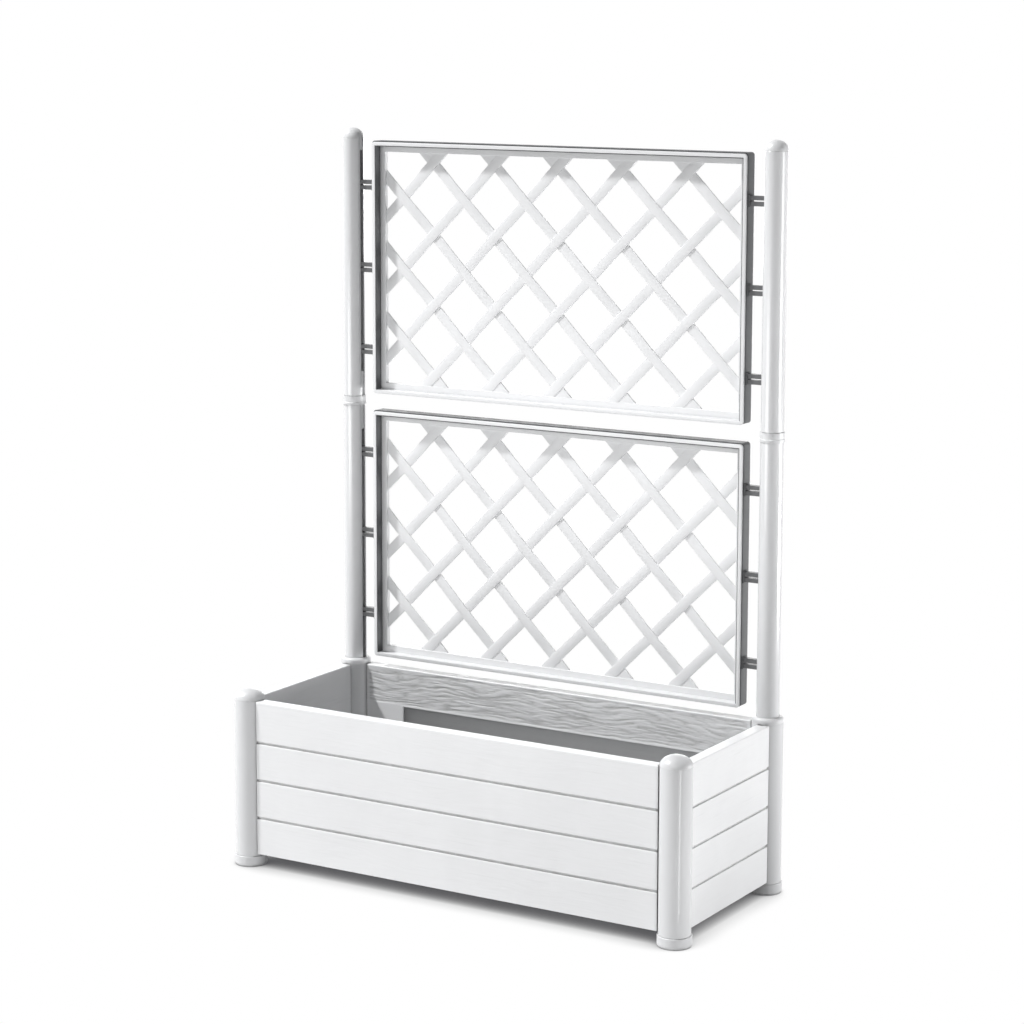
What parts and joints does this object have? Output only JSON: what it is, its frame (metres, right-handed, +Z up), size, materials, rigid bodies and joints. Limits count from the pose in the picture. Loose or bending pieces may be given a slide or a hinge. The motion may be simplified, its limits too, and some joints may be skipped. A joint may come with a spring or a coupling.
{
  "type": "planter with privacy screen",
  "caption": "Rectangular box planter of grooved panels on round corner posts, with a lattice privacy screen in framed storeys between uprights that plug into the rear posts.",
  "frame": {"origin": "middle of the footprint on the floor", "axes": "+X to the right along the long front, +Y to the back where the screen stands, +Z up"},
  "size_m": [1, 0.43, 1.42],
  "materials": {
    "posts": "satin white, smooth",
    "panels": "satin white with moulded wood grain",
    "floor": "satin white, plain",
    "lattice": "satin white, smooth",
    "edging": "dark grey, matt",
    "pegs": "dark grey, satin"
  },
  "bodies": {
    "planter": {"front_left_post": "posts", "front_right_post": "posts", "rear_left_post": "posts", "rear_right_post": "posts", "front_left_foot": "posts", "front_right_foot": "posts", "rear_left_foot": "posts", "rear_right_foot": "posts", "front_left_cap": "posts", "front_right_cap": "posts", "rear_left_collar": "posts", "rear_right_collar": "posts", "front_panel": "panels", "back_panel": "panels", "left_panel": "panels", "right_panel": "panels", "base_left": "floor", "base_right": "floor", "base_cross_bar": "floor"},
    "lower_screen": {"lower_left_upright": "posts", "lower_right_upright": "posts", "left_joiner": "posts", "right_joiner": "posts", "lower_trellis": "lattice", "lower_edge_strip": "edging", "lower_pegs": "pegs"},
    "upper_screen": {"upper_left_upright": "posts", "upper_right_upright": "posts", "left_top_cap": "posts", "right_top_cap": "posts", "upper_trellis": "lattice", "upper_edge_strip": "edging", "upper_pegs": "pegs"}
  },
  "joints": [
    {"name": "lower_screen_lift", "type": "slide", "parent": "planter", "child": "lower_screen", "axis": [0, 0, 1], "range_m": [0, 0.1]},
    {"name": "upper_screen_lift", "type": "slide", "parent": "lower_screen", "child": "upper_screen", "axis": [0, 0, 1], "range_m": [0, 0.05]}
  ]
}
